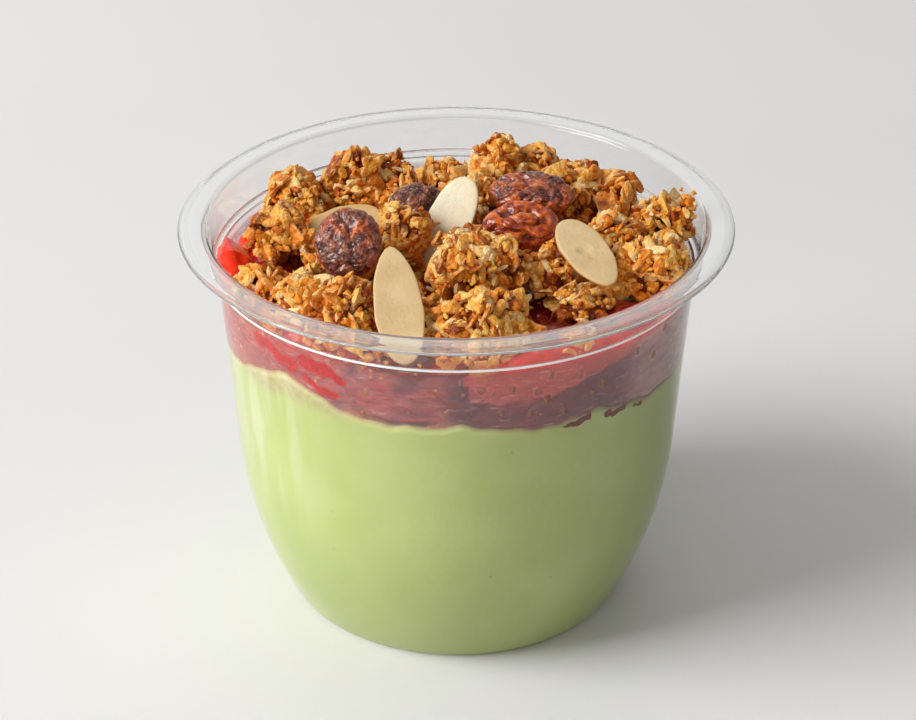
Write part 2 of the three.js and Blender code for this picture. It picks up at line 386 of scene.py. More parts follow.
def clearPlastic():
    look = Look("clear plastic")
    frost = look.mark("frost")
    ripple = look.grain(9, 1, at=look.stretched((1, 1, 0.18)))  # slight draw marks up the wall
    pull = look.grain(2.2, 2, at=look.stretched((1, 1, 0.3)))
    glass = look.shine(
        Base_Color=(0.975, 0.985, 0.98, 1),
        Roughness=0.02,
        IOR=1.5,
        Transmission_Weight=1.0,
        Normal=look.bump(ripple + pull * 0.12, 0.06),
    )
    letThrough = look.add("BsdfTransparent", {}, {"Color": (0.93, 0.94, 0.935, 1)})
    shadow = look.add("LightPath", out="Is Shadow Ray")
    clear = look.add("MixShader", {}, {0: shadow, 1: glass, 2: letThrough})
    # painted highlight on the marked rings, mixed over the clear plastic
    white = look.mix(frost.within(0.2, 0.7), (0.6, 0.6, 0.585, 1), (0.93, 0.93, 0.92, 1))
    edge = look.shine(Base_Color=white, Roughness=0.25)  # painted highlight: white where the corners would catch light
    return look.finish(look.add("MixShader", {}, {0: frost, 1: clear, 2: edge}))


def buildTub():
    size = tubSizes
    top, under = size["height"], size["height"] - size["wall"]
    edge = top - size["lipDrop"]
    lip = size["rimRadius"] - size["lipWidth"]
    foot = size["bodyRadius"] - size["wall"] + size["ledgeWidth"]
    shelf = size["ledgeHeight"] + size["ledgeRise"]
    mouth, turn, wall = size["mouthRadius"], size["mouthRound"], size["wall"]
    outer = bodyLine(0, size["ledgeHeight"] - 0.25)
    inner = bodyLine(wall, size["ledgeHeight"] + 0.2)
    rim = [
        outer[-1],
        (float(wallRadius(size["ledgeHeight"], 0)), size["ledgeHeight"] + 0.05),
        (foot + wall * 0.8, shelf - wall / 2),
        (foot + wall * 0.9, size["beadHeight"] - size["beadRadius"]),
        *[
            (foot + wall * 0.9 + size["beadRadius"] * math.sin(way) * 0.8,
             size["beadHeight"] - size["beadRadius"] * math.cos(way))
            for way in np.radians([30, 60, 90, 120, 150])
        ],
        (foot + wall * 0.95, size["beadHeight"] + size["beadRadius"]),
        (mouth + wall, under - turn / 2),
        (mouth + turn + wall / 2, under),
        (lip, under),
        (size["rimRadius"] - wall, edge),
        (size["rimRadius"] - wall / 4, edge),
        (size["rimRadius"], edge + wall / 2),
        (size["rimRadius"] - wall, top - wall / 4),
        (lip, top),
        (mouth + turn, top),
        (mouth + turn / 4, top - turn / 4),
        (mouth, top - turn),
        (foot, shelf + wall / 2),
        (foot - size["ledgeWidth"], shelf),
        inner[-1],
    ]
    line = outer[:-1] + softened(rim, 0.35) + inner[-2::-1]
    tub = spun("tub", line, size["stepsRound"])
    spots = spotsOf(tub)
    # painted highlights: white rings round the corners that would catch light
    radius, frost = np.hypot(spots[:, 0], spots[:, 1]), np.zeros(len(spots))
    for ring, height, reach, white in size["glintRings"]:
        gap = np.hypot(radius - ring, spots[:, 2] - height)
        frost = np.maximum(frost, white * (1 - smoothStep(0.5, 1, gap / reach)))
    # painted reflection: the rim band is whitened too
    onRim = (radius > size["mouthRadius"] + size["mouthRound"]) & (spots[:, 2] > edge - 0.6)
    mark(tub, "frost", np.maximum(frost, size["rimPaintedSheen"] * onRim))
    finishPiece(tub, "clear_tub", clearPlastic(), ["tub"])
    say("tub made:", len(tub.data.polygons), "faces")
    return tub


# The cream.
cream = {
    "reach": 0.25,  # how far it stands into the wall, so that no gap shows
    "middle": 50.4,
    # where it meets the wall: the angle from the front, the height
    "shore": [
        (-180, 50.6), (-150, 51.2), (-120, 50.9), (-95, 50.8), (-80, 50.9), (-67.7, 51.5),
        (-57.4, 53.6), (-49, 55.6), (-43.6, 56.5), (-37.5, 55.3), (-29.9, 53.5), (-23.4, 52.2),
        (-14, 52.0), (-4.7, 52.1), (0.9, 52.8), (12, 51.4), (24.8, 50.6), (26.6, 51.2),
        (35.4, 51.8), (44.7, 50.2), (54.7, 49.2), (69.6, 48.9), (90, 49.6), (120, 50.6),
        (150, 51.0), (180, 50.6),
    ],
    # the lower side of the thin pink film left where it was pushed up
    "film": [(-75, 50.6), (-63.3, 50.6), (-53.6, 50.6), (-44, 51.4), (-38, 51.4), (-27, 51.2),
             (-18, 51.4)],
    "stepsRound": 256,
}


def shoreAt(angle):
    angles, heights = zip(*cream["shore"])
    ragged = 0.16 * np.sin(np.radians(angle) * 31 + 1) + 0.12 * np.sin(np.radians(angle) * 53)
    return np.interp(angle, angles, heights) + ragged


def creamFinish():
    look = Look("matcha cream")
    under, film, pale = look.mark("under"), look.mark("film"), look.mark("pale")
    wide = look.grain(14, 2)
    fine = look.grain(1.1, 3)
    colour = look.mix(wide.within(0.35, 0.65), paint(187, 197, 127), paint(181, 192, 119))
    specks = look.add(
        "TexVoronoi", {"feature": "F1"}, {"Vector": look.place(), "Scale": 1 / (2.6 * mm)}
    )
    patchy = look.grain(5, 1).within(0.5, 0.7)
    dot = specks.within(0.06, 0.13, 1, 0) * patchy * 0.5
    colour = look.mix(dot, colour, paint(120, 138, 70))
    pink = look.mix(fine.within(0.3, 0.7), paint(186, 178, 126), paint(174, 154, 114))
    colour = look.mix(film * 0.85, colour, pink)
    edge = under.within(0.15, 0.9, 1, 0)
    # painted light: pale vertical streaks on the marked side, where light through the plastic
    # falls
    streaks = look.grain(4, 2, at=look.stretched((1, 1, 0.16)))
    colour = look.mix(pale * streaks.within(0.4, 0.62, 0.0, 0.55), colour, paint(210, 210, 182))
    colour = look.mix(edge * 0.8, colour, paint(176, 162, 110))
    shader = look.shine(
        Base_Color=colour,
        Roughness=0.42,
        Subsurface_Weight=0.35,
        Subsurface_Radius=(1.0, 0.9, 0.5),
        Subsurface_Scale=2 * mm,
        Normal=look.bump(look.grain(3, 2), 0.12),
    )
    return look.finish(shader)


def buildCream():
    depth = tubSizes["wall"] - cream["reach"]
    level = 50.0
    line = bodyLine(depth, level, wall=46)
    rim = line[-1][0]
    line += [(rim * share, level) for share in (0.97, 0.92, 0.8, 0.6, 0.4, 0.2, 0)]
    piece = spun("cream", line, cream["stepsRound"])
    spots = spotsOf(piece)
    angle = roundFrom(spots)
    shore = shoreAt(angle)
    radius = np.hypot(spots[:, 0], spots[:, 1])
    wallPart = (radius > wallRadius(spots[:, 2], depth) - 0.02) & (spots[:, 2] > 3)
    onTop = (spots[:, 2] > level - 0.01) & ~wallPart
    lift = np.clip((spots[:, 2] - 30) / (level - 30), 0, 1)
    z = np.where(wallPart, spots[:, 2] + (shore - level) * lift, spots[:, 2])
    share = radius / rim
    z = np.where(onTop, cream["middle"] + (shore - cream["middle"]) * share**6, z)
    newRadius = np.where(wallPart, wallRadius(z, depth), radius)
    scale = newRadius / np.maximum(radius, 1e-6)
    moved = np.column_stack([spots[:, 0] * scale, spots[:, 1] * scale, z])
    moveTo(piece, moved)
    mark(piece, "under", np.where(onTop, 0, shore - z))
    low = np.interp(angle, *zip(*cream["film"]))
    inFilm = smoothStep(-74, -62, angle) * (1 - smoothStep(-24, -16, angle))
    mark(piece, "film", inFilm * smoothStep(-0.5, 1.0, z - low + 0.8 * cloud(moved, 3.0)))
    side = smoothStep(-86, -62, angle) * (1 - smoothStep(-52, -30, angle))  # painted light: pale streaks up here, where light through the rim falls on the cream
    mark(piece, "pale", side * smoothStep(20, 40, z) * (~onTop))
    finishPiece(piece, "matcha_cream_body", creamFinish(), ["matcha_cream"])
    say("cream made:", len(piece.data.polygons), "faces")
    return piece


# The strawberry slices.
def rowOfSlices(count, start, step, radius, z, half):
    return [
        (start + step * i, radius + 1.2 * math.sin(2.4 * i), z + 0.7 * math.cos(1.9 * i), half,
         6 * math.sin(1.3 * i + 1))
        for i in range(count)
    ]


berries = {
    "grain": 0.5,  # size of the facets
    "seedGap": 3.9,
    "dimple": 0.34,
    "deep": (3, 5, 8),  # painted shade: slices made darker red, as they lie in shade
    # painted light: slices made a lighter red, where the lamp falls on them
    "bright": (6, 13),
    # the slices are pressed together over these places in the middle
    "closed": [(14, -19, 61), (-18, 14, 61), (0, -2, 61), (19, 11, 61)],
    "press": 0.7,  # how far they are pulled there, as a share of the way
    "halfShaded": (1, 2),  # painted shade: these are darker below the edge: angles, heights
    "edge": (
        (-4, 2, 9, 23, 28, 34, 40, 50, 60),
        (57.2, 57.4, 56.5, 56.6, 57.6, 58.7, 59.6, 60.6, 61),
    ),
    "dimpleReach": 1.5,
    "wallSeedSize": 1.35,
    # angle from the front, radius and height of the middle, half sizes, lean
    "slices": [
        (33, 33.5, 60, (21, 8.6, 4), 4),
        (36, 33.6, 53.4, (22, 8.6, 3.4), 0),
        (-11, 33, 57.2, (13, 9, 5.2), 0),
        (-41, 33.5, 59.9, (12.5, 8, 3.6), 4),
        (-34, 34, 55.4, (11, 8, 2.4), 3),
        (-80, 37.4, 59.8, (12, 7.6, 3.3), 78),
        (67, 34, 59.4, (13, 8.8, 3.6), 5),
        (-64, 31, 55.4, (11, 8, 3), 0),
        *rowOfSlices(5, 108, 37, 33, 57.4, (13, 8.4, 4.5)),
        *rowOfSlices(4, 86, 90, 15, 57.4, (14.5, 12, 4)),
    ],
    # seeds that show through the wall: the angle from the front, the height
    "frontSeeds": [
        (5.8, 59.5), (13.0, 59.2), (19.2, 58.1), (22.0, 60.8), (29.8, 59.5), (17.5, 54.0),
        (21.5, 56.4), (33.0, 55.4), (36.3, 56.5), (25.9, 53.3), (47.1, 59.8), (-21.3, 57.6),
        (-22.3, 53.1), (41.0, 53.6), (54.0, 57.0), (-2.0, 55.0), (58.0, 61.0), (10.5, 54.8),
    ],
}


def melted(node, grain, rounds, name):  # a finely faceted, rounded copy of a CAD piece
    source = frame["nodes"][node]
    piece = bpy.data.objects.new(name, source.data.copy())
    bpy.context.scene.collection.objects.link(piece)
    pick(piece)
    bpy.ops.object.mode_set(mode="EDIT")
    bpy.ops.mesh.select_all(action="SELECT")
    bpy.ops.mesh.remove_doubles(threshold=1e-6)
    bpy.ops.object.mode_set(mode="OBJECT")
    modify(piece, "REMESH", mode="VOXEL", voxel_size=grain * mm)
    modify(piece, "SMOOTH", factor=0.6, iterations=rounds)
    return piece


def berryFinish():
    look = Look("strawberry")
    cut, share, deep = look.mark("cut"), look.mark("share"), look.mark("deep")
    bright = look.mark("bright")
    blotch = look.grain(4, 3)
    skin = look.mix(blotch.within(0.35, 0.7), paint(232, 34, 6), paint(196, 16, 4))
    fibres = look.grain(0.8, 2, at=look.stretched((1, 1, 3)))
    flesh = look.mix(fibres.within(0.35, 0.65), paint(226, 42, 10), paint(206, 22, 6))
    heart = look.mix(fibres.within(0.3, 0.7), paint(238, 130, 90), paint(230, 90, 50))
    flesh = look.mix(share.within(0.15, 0.6, 1, 0) * 0.8, flesh, heart)
    colour = look.mix(cut, skin, flesh)
    layers = look.grain(7, 3, at=look.stretched((1, 1, 6)))
    # painted shade: the deep parts darker red, and noisy layers darken it too, less on the bright
    # slices
    shade = layers.within(0.42, 0.6) * (0.3 + deep * 0.3 - bright * 0.3) + deep * 0.55
    # painted light: the bright slices a lighter red
    colour = look.mix(bright, colour, paint(246, 44, 4))
    colour = look.mix(shade, colour, paint(108, 8, 14))
    colour = look.mix(layers.within(0.34, 0.42, 1, 0) * 0.35, colour, paint(232, 96, 76))
    shader = look.shine(
        Base_Color=colour,
        Roughness=0.22,
        IOR=1.38,
        Subsurface_Weight=0.3,
        Subsurface_Radius=(1.0, 0.25, 0.15),
        Subsurface_Scale=2 * mm,
        Coat_Weight=0.2,
        Coat_Roughness=0.1,
        Normal=look.bump(look.grain(0.7, 2) + fibres * 0.6, 0.1),
    )
    return look.finish(shader)


def seedFinish():
    look = Look("strawberry seed")
    tone = look.mark("tone")
    colour = look.mix(tone, paint(214, 164, 74), paint(140, 92, 62))
    shade = look.grain(0.4, 2).within(0.3, 0.7)
    colour = look.mix(shade * 0.4, colour, paint(150, 60, 24))
    return look.finish(look.shine(Base_Color=colour, Roughness=0.3))


def seedModel():
    deselectAll()
    bpy.ops.mesh.primitive_uv_sphere_add(segments=10, ring_count=6, radius=mm)
    model = bpy.context.object
    spots = spotsOf(model)
    narrow = 1 - 0.35 * spots[:, 0]  # a drop, broad at one end
    spots = spots * [0.72, 0.44, 0.3]
    spots[:, 1] *= narrow
    return takeModel(model, spots)


def takeModel(model, spots, **marks):  # keeps the shape as numbers and removes the object
    faces = [tuple(face.vertices) for face in model.data.polygons]
    bpy.data.objects.remove(model)
    return {"spots": spots, "faces": faces, "marks": marks}


def axesOf(normal, along):  # a turn whose Z is the normal and X lies near along
    normal = unit(normal)
    side = np.cross(normal, along)
    if np.linalg.norm(side) < 1e-6:
        side = np.cross(normal, [0.3, 0.9, 0.2])
    side = unit(side)
    return np.column_stack([np.cross(side, normal), side, normal])


def stamped(name, stamps):  # stamps: (model, turn, size, place, tone)
    spots, faces, tones, marks = [], [], [], {}
    start = 0
    for model, turn, size, place, tone in stamps:
        laid = (model["spots"] * size) @ turn.T + place
        spots.append(laid)
        faces += [tuple(i + start for i in face) for face in model["faces"]]
        tones.append(np.full(len(laid), tone))
        for key, values in model["marks"].items():
            marks.setdefault(key, []).append(values)
        start += len(laid)
    piece = fromParts(name, np.vstack(spots), [], faces)
    mark(piece, "tone", np.concatenate(tones))
    for key, values in marks.items():
        mark(piece, key, np.concatenate(values))
    return piece


def buildSlices():
    finish, seed = berryFinish(), seedModel()
    slices, stamps = [], []
    wallSeeds = []
    for angle, z in berries["frontSeeds"]:
        turn = math.radians(angle)
        reach = float(wallRadius(z, tubSizes["wall"]))
        wallSeeds.append((reach * math.sin(turn), -reach * math.cos(turn), z))
    for i, (angle, radius, z, half, lean) in enumerate(berries["slices"], 1):
        piece = melted(f"strawberry_{i}", berries["grain"], 5, f"slice {i}")
        spots = spotsOf(piece)
        axes = axesTurned(angle, -lean)
        middle = np.array(
            [radius * math.sin(math.radians(angle)), -radius * math.cos(math.radians(angle)), z]
        )
        local = (spots - middle) @ axes
        spots = spots + normalsOf(piece) * (
            0.16 + 0.3 * cloud(spots, 5.0, i) + 0.28 * cloud(spots, 1.5, i)
        )[:, None]
        offWall = 1 - smoothStep(28, 35, np.hypot(spots[:, 0], spots[:, 1]))
        for place in berries["closed"]:
            pull = np.array(place) - spots
            reach = berries["press"] * np.exp(-(pull**2).sum(1) / 110) * offWall
            spots = spots + pull * reach[:, None] * [1, 1, 0.4]
        moveTo(piece, spots)
        ways = normalsOf(piece)
        cut = smoothStep(0.5, 0.8, np.abs(ways @ axes[:, 2]))
        chosen = []
        wallAngle = roundFrom(spots)
        facesWall = (ways * unit(spots * [1, 1, 0])).sum(1) > 0.5
        shown = facesWall & (wallAngle > -50) & (wallAngle < 66)
        for spot in wallSeeds:
            gaps = np.linalg.norm(spots - np.array(spot), axis=1)
            best = int(np.argmin(gaps))
            if gaps[best] < 1.6:
                chosen.append(best)
                atWall = np.array(spot) - 0.12 * ways[best]
                upright = axesOf(ways[best], [0.3, 0, 1])
                size = berries["wallSeedSize"]
                stamps.append((seed, upright, size, atWall, dice.uniform(0.7, 1)))
        onWall = len(chosen)
        isBright = i in berries["bright"]
        free = dice.permutation(np.flatnonzero((cut < 0.3) & ~shown & (not isBright)))
        chosen += list(free[thinned(spots[free], berries["seedGap"], kept=spots[chosen])])
        sunk = spots.copy()
        for k in chosen:
            gap = np.linalg.norm(spots - spots[k], axis=1) / berries["dimpleReach"]
            near = gap < 1
            dent = berries["dimple"] * (1 - gap[near] ** 2) ** 2
            sunk[near] -= ways[near] * dent[:, None]
        moveTo(piece, sunk)
        for k in chosen[onWall:]:
            along = axes[:, 0] + 0.5 * dice.normal(size=3)
            size = dice.uniform(0.85, 1.15)
            place = sunk[k] + ways[k] * 0.08
            stamps.append((seed, axesOf(ways[k], along), size, place, dice.random()))
        mark(piece, "cut", cut)
        # painted shade: darker red further in, where the slices lie in shade
        inside = 1 - smoothStep(35.5, 38, np.hypot(spots[:, 0], spots[:, 1]))
        deep = np.maximum(float(i in berries["deep"]), inside * (not isBright))
        if i in berries["halfShaded"]:
            edge = np.interp(roundFrom(spots), *berries["edge"])
            deep = np.maximum(deep, smoothStep(-0.3, 0.3, edge - spots[:, 2]))
        mark(piece, "deep", np.clip(deep, 0, 1))
        mark(piece, "bright", np.full(len(spots), float(isBright)))
        mark(piece, "share", np.hypot(local[:, 0] / half[0], local[:, 1] / half[1]))
        name = f"strawberry_slice_{i}"
        slices.append(finishPiece(piece, name, finish, [f"strawberry_{i}"]))
    seeds = stamped("seeds", stamps)
    finishPiece(seeds, "strawberry_seeds", seedFinish())
    say("strawberry slices made:", len(slices), "with", len(stamps), "seeds")
    return slices


# The mist and the wet patches inside the wall.
mist = {
    "low": 46.5,
    "high": 68.4,
    "half": 0.06,  # of its thickness
    "stepsRound": 560,
    "arc": 40,  # the radius at which widths along the wall are measured
    # the middle of the plastic above the body: heights, radii
    "collar": ((62.9, 63.15, 63.5, 69.5), (40.68, 40.85, 41.55, 42.6)),
    # juice against the wall: the angle, the height, half width, half height, tilt, how dark
    "wet": [
        (-52.8, 60.2, 1.5, 1.2, -35, 0), (-49.4, 60.2, 1.6, 0.9, -28, 0),
        (-46.2, 59.2, 2.2, 1.0, -38, 0), (-42.3, 58.6, 1.8, 1.7, 10, 0),
        (-36.2, 60.3, 2.4, 1.5, 0, 0), (-32.2, 60.0, 2.6, 1.3, -8, 0),
        (-28.2, 58.9, 1.5, 0.9, -30, 0), (-36.4, 56.9, 1.9, 0.7, -22, 0),
        (-31.6, 55.7, 2.6, 0.95, -6, 0),
        (27.5, 50.2, 1.1, 0.4, 10, 1), (30.6, 50.3, 1.6, 0.7, 24, 1), (33.2, 50.9, 0.5, 0.9, 0, 1),
        (38.8, 49.9, 0.9, 0.8, 20, 1), (41.6, 49.5, 1.6, 0.6, 12, 1), (44.2, 49.8, 0.5, 0.8, 0, 1),
        (48.2, 49.0, 0.5, 0.5, 0, 1), (50.4, 48.6, 0.7, 0.5, 0, 1),
    ],
}


def midWall(z):  # the radius halfway through the plastic
    body = wallRadius(z, tubSizes["wall"] * 0.6)
    return np.where(z < mist["collar"][0][0], body, np.interp(z, *mist["collar"]))


def mistFinish():
    look = Look("mist")
    wet, haze, seeds = look.mark("wet"), look.mark("haze"), look.mark("seeds")
    deep, stain, band = look.mark("deep"), look.mark("stain"), look.mark("band")
    ragged = look.grain(1.1, 3, distortion=0.6)
    juice = (wet + (ragged - 0.5) * 1.1).within(0.47, 0.55)
    blotch = look.grain(5, 3, at=look.stretched((1, 1, 2.2))).within(0.35, 0.62, 0.14, 0.36)
    drops = look.grain(0.45, 2).within(0.58, 0.72) * 0.08
    threads = look.grain(2.6, 2, at=look.stretched((1, 1, 5))).within(0.56, 0.7)
    milky = haze.within(1.0, 1.5)
    low = band.within(0, 1)  # painted shade: the slice below the edge darkened
    high = (0 - band).within(0, 1)  # a pink one above it
    veil = blotch + drops + (stain + threads) * 0.12 + low * 0.12 + high * 0.14
    # clear inside the seeds, with a painted highlight ring round them
    veil = (haze.within(0, 1) * veil + milky * 0.14) * (1 - seeds * 0.75)
    tint = look.grain(7, 1)
    grey = look.mix(tint.within(0.35, 0.6), paint(160, 118, 128), paint(212, 132, 128))
    grey = look.mix(stain * 0.7, grey, paint(206, 98, 90))
    grey = look.mix(low * 0.85, grey, paint(150, 100, 106))
    grey = look.mix(high * 0.8, grey, paint(238, 134, 126))
    grey = look.mix(milky, grey, paint(226, 184, 180))
    grey = look.mix(threads * 0.6, grey, paint(214, 168, 164))
    cells = {"Vector": look.place(), "Scale": 1 / (1.7 * mm), "Randomness": 1.0}
    crumbs = look.add("TexVoronoi", {}, cells).within(0.16, 0.24, 1, 0)
    crumbs = crumbs * look.grain(3.5, 2).within(0.5, 0.58) * haze * (stain * 0.5 + 0.15)
    grey = look.mix(crumbs * 2, grey, paint(226, 168, 118))
    red = look.mix(deep, paint(208, 40, 34), paint(124, 26, 38))
    film = look.shine(Base_Color=look.mix(juice, grey, red), Roughness=0.5)
    clear = look.add("BsdfTransparent")
    wash = look.grain(1.3, 3).within(0.3, 0.7, 0.42, 0.72) + deep * 0.3
    amount = look.add("Mix", {"data_type": "FLOAT"}, {0: juice, 2: veil + crumbs, 3: wash})
    return look.finish(look.add("MixShader", {}, {0: amount, 1: clear, 2: film}))


def buildMist():
    heights = np.linspace(mist["low"], mist["high"], 56)
    middle = midWall(heights)
    out = list(zip(middle + mist["half"], heights))
    back = list(zip((middle - mist["half"])[::-1], heights[::-1]))
    piece = spun("mist", out + back, mist["stepsRound"], closed=True)
    spots = spotsOf(piece)
    angle, z = roundFrom(spots), spots[:, 2]
    wet, deep, seeds = np.zeros(len(spots)), np.zeros(len(spots)), np.zeros(len(spots))
    for side, height, wide, tall, tilt, dark in mist["wet"]:
        x = np.radians(angle - side) * mist["arc"]
        y = z - height
        turn = math.radians(tilt)
        along = (x * math.cos(turn) + y * math.sin(turn)) / wide
        across = (y * math.cos(turn) - x * math.sin(turn)) / tall
        wet = np.maximum(wet, 1 - 0.5 * (along**2 + across**2))
        deep = np.maximum(deep, dark * (along**2 + across**2 < 5))
    # clear spots over the wall seeds, each with a painted highlight ring
    for side, height in berries["frontSeeds"]:
        gap = np.hypot(np.radians(angle - side) * mist["arc"] / 0.8, z - height)
        ring = smoothStep(0.7, 1.0, gap) * (1 - smoothStep(1.0, 1.4, gap))
        seeds += 0.8 * (1 - smoothStep(0.5, 0.9, gap)) - 0.7 * ring
    front = 1 - smoothStep(70, 85, np.abs(angle))
    above = smoothStep(-0.6, 0.6, z - shoreAt(angle))
    ledge = tubSizes["ledgeHeight"]
    overLedge = 1 - smoothStep(ledge - 1.6, ledge, z) * (1 - 0.35 * front)
    mark(piece, "wet", np.clip(wet, 0, 1))
    mark(piece, "deep", deep)
    mark(piece, "seeds", seeds)
    haze = above * overLedge * (1 - smoothStep(66, mist["high"] - 0.4, z))
    mark(piece, "haze", haze * (1 + 0.5 * front * smoothStep(36, 56, angle)))
    # painted shade below the slices' edge; pink above it
    edge = np.interp(angle, *berries["edge"]) + 0.2 * np.sin(np.radians(angle) * 60)
    span = smoothStep(-2, 0, angle) * (1 - smoothStep(56, 64, angle))
    upper = smoothStep(-0.2, 0.2, z - edge) * smoothStep(2.4, 3.2, angle)
    mark(piece, "band", span * (smoothStep(-0.25, 0.25, edge - z) - upper))
    mark(piece, "stain", smoothStep(-88, -74, angle) * (1 - smoothStep(-46, -22, angle)))
    finishPiece(piece, "wall_mist", mistFinish())
    say("mist made")
    return piece


# The almond flakes.
almonds = {
    "thick": 1.15,
    "dented": 3,  # this one has a small ring and a dent
    # the round and the pointed end, the way it faces, how golden, how blunt each end is
    "flakes": [
        {"round": (2.2, 6.4, 74.8), "point": (-5, -3.6, 62.2), "width": 7.8,
         "face": (-0.28, -1, 0.55), "bend": 0.5, "gold": 0.0, "blunt": (0.7, 0.5)},
        {"round": (-7.9, -37.4, 62.4), "point": (-10.8, -23, 76.6), "width": 8.0,
         "face": (0, -1, 0.6), "bend": 0.6, "gold": 0.66, "blunt": (0.66, 0.52)},
        {"round": (18, -7.2, 73.2), "point": (25.6, -21, 68.4), "width": 7.7,
         "face": (0.1, -0.5, 1), "bend": 0.4, "gold": 0.66, "blunt": (0.7, 0.62)},
        {"round": (-12.4, 0.6, 69.4), "point": (-25.4, 3, 67.2), "width": 8,
         "face": (0.1, -0.5, 1), "bend": 0.5, "gold": 0.9, "blunt": (0.7, 0.5)},
    ],
}


def bezier(ends, t):
    a, b, c, d = (np.array(p, float) for p in ends)
    t = t[:, None]
    return (1 - t) ** 3 * a + 3 * t * (1 - t) ** 2 * b + 3 * t * t * (1 - t) * c + t**3 * d


def almondOutline(length, width, blunt):  # half of it, from the round end to the point
    l, w = length / 2, width / 2
    t = np.linspace(0, 1, 40)
    low = bezier([(0, -l), (w * blunt[0], -l), (w, -l * 0.55), (w, -l * 0.1)], t)
    high = bezier([(w, -l * 0.1), (w, l * 0.4), (w * blunt[1], l), (0, l)], t)
    return np.vstack([low, high[1:]])


def almondFrame(flake):
    start, end = np.array(flake["round"], float), np.array(flake["point"], float)
    along = unit(end - start)
    normal = unit(np.array(flake["face"]) - along * np.dot(flake["face"], along))
    axes = np.column_stack([np.cross(along, normal), along, normal])
    return (start + end) / 2, axes, np.linalg.norm(end - start)


def almondFinish():
    look = Look("almond")
    tone, rim, along = look.mark("gold"), look.mark("rim"), look.mark("along")
    across = look.mark("across")
    grainPlace = look.add("CombineXYZ", {}, {0: across, 1: along * 0.12, 2: tone})
    fibres = look.add("TexNoise", {}, {"Vector": grainPlace, "Scale": 1.4, "Detail": 3.0})
    wide = look.grain(5, 2)
    pale = look.mix(wide.within(0.3, 0.7), paint(250, 240, 212), paint(244, 228, 192))
    gold = look.mix(wide.within(0.3, 0.7), paint(210, 170, 100), paint(196, 152, 80))
    colour = look.mix(tone, pale, gold)
    colour = look.mix(fibres.within(0.45, 0.75) * 0.1, colour, paint(208, 174, 120))
    pits = look.grain(0.5, 2).within(0.62, 0.72)
    colour = look.mix(pits * 0.3, colour, paint(186, 140, 84))
    colour = look.mix(rim * 0.45, colour, paint(206, 164, 98))
    shader = look.shine(
        Base_Color=colour,
        Roughness=0.5,
        Subsurface_Weight=0.4,
        Subsurface_Radius=(1.0, 0.75, 0.45),
        Subsurface_Scale=1.2 * mm,
        Normal=look.bump(fibres * 0.3 + look.grain(0.6, 3) + look.grain(2.5, 1), 0.08),
    )
    return look.finish(shader)


def buildAlmonds():
    finish = almondFinish()
    for i, flake in enumerate(almonds["flakes"], 1):
        middle, axes, length = almondFrame(flake)
        width = flake["width"]
        deselectAll()
        bpy.ops.mesh.primitive_uv_sphere_add(segments=72, ring_count=28, radius=mm)
        piece = bpy.context.object
        ball = spotsOf(piece)
        outline = almondOutline(length, width, flake["blunt"])
        angles = np.arctan2(outline[:, 0], -outline[:, 1])  # 0 at the round end
        reach = np.hypot(outline[:, 0], outline[:, 1])
        turn = np.abs(np.arctan2(ball[:, 0], -ball[:, 1]))
        flat = np.hypot(ball[:, 0], ball[:, 1])
        wave = 1 + 0.012 * np.sin(turn * 5 + i) + 0.006 * np.sin(turn * 9 + 2 * i)
        spread = np.interp(turn, angles, reach) * flat**0.75 * wave
        x = ball[:, 0] / np.maximum(flat, 1e-9) * spread
        y = ball[:, 1] / np.maximum(flat, 1e-9) * spread
        thick = almonds["thick"] / 2 * np.abs(ball[:, 2]) ** 0.28 * np.sign(ball[:, 2])
        thick *= 1 - 0.25 * np.clip(y / (length / 2), -1, 1)
        cup = flake["bend"] * ((y / (length / 2)) ** 2 - 0.4) * 0.6 + 0.25 * (x / (width / 2)) ** 2
        gap = np.hypot(x - 0.3, y + 0.5)
        dent = -0.3 * np.exp(-(gap**2) / 0.7) * (i == almonds["dented"])
        ring = 0.12 * np.exp(-((gap - 1.5) ** 2) / 0.2) * (i == almonds["dented"])
        local = np.column_stack([x, y, thick + cup + (dent + ring) * (ball[:, 2] > 0)])
        moveTo(piece, local @ axes.T + middle)
        mark(piece, "gold", np.full(len(ball), flake["gold"]))
        mark(piece, "rim", smoothStep(0.93, 1.0, flat))
        mark(piece, "along", y)
        mark(piece, "across", x)
        finishPiece(piece, f"almond_{i}", finish, [f"almond_flake_{i}"])
    say("almond flakes made:", len(almonds["flakes"]))


# The raisins.
raisins = {
    "fold": 0.5,  # depth of the wrinkles
    # the middle, half sizes, turns about X and Z, how red and clear
    "shapes": [
        {"at": (-18, -12, 71.6), "half": (5.7, 5.9, 2.9), "tilt": 52, "swing": -8, "red": 0.3},
        {"at": (-6.4, 5.4, 70), "half": (5.5, 4.5, 3.4), "tilt": 20, "swing": -12, "red": 0.1},
        {"at": (12.9, 7.4, 71.3), "half": (7.4, 4.5, 3.8), "tilt": 15, "swing": -10, "red": 0.5},
        {"at": (10.9, -2.9, 70.4), "half": (6.3, 4.3, 3.2), "tilt": 25, "swing": 6, "red": 1.0},
    ],
}


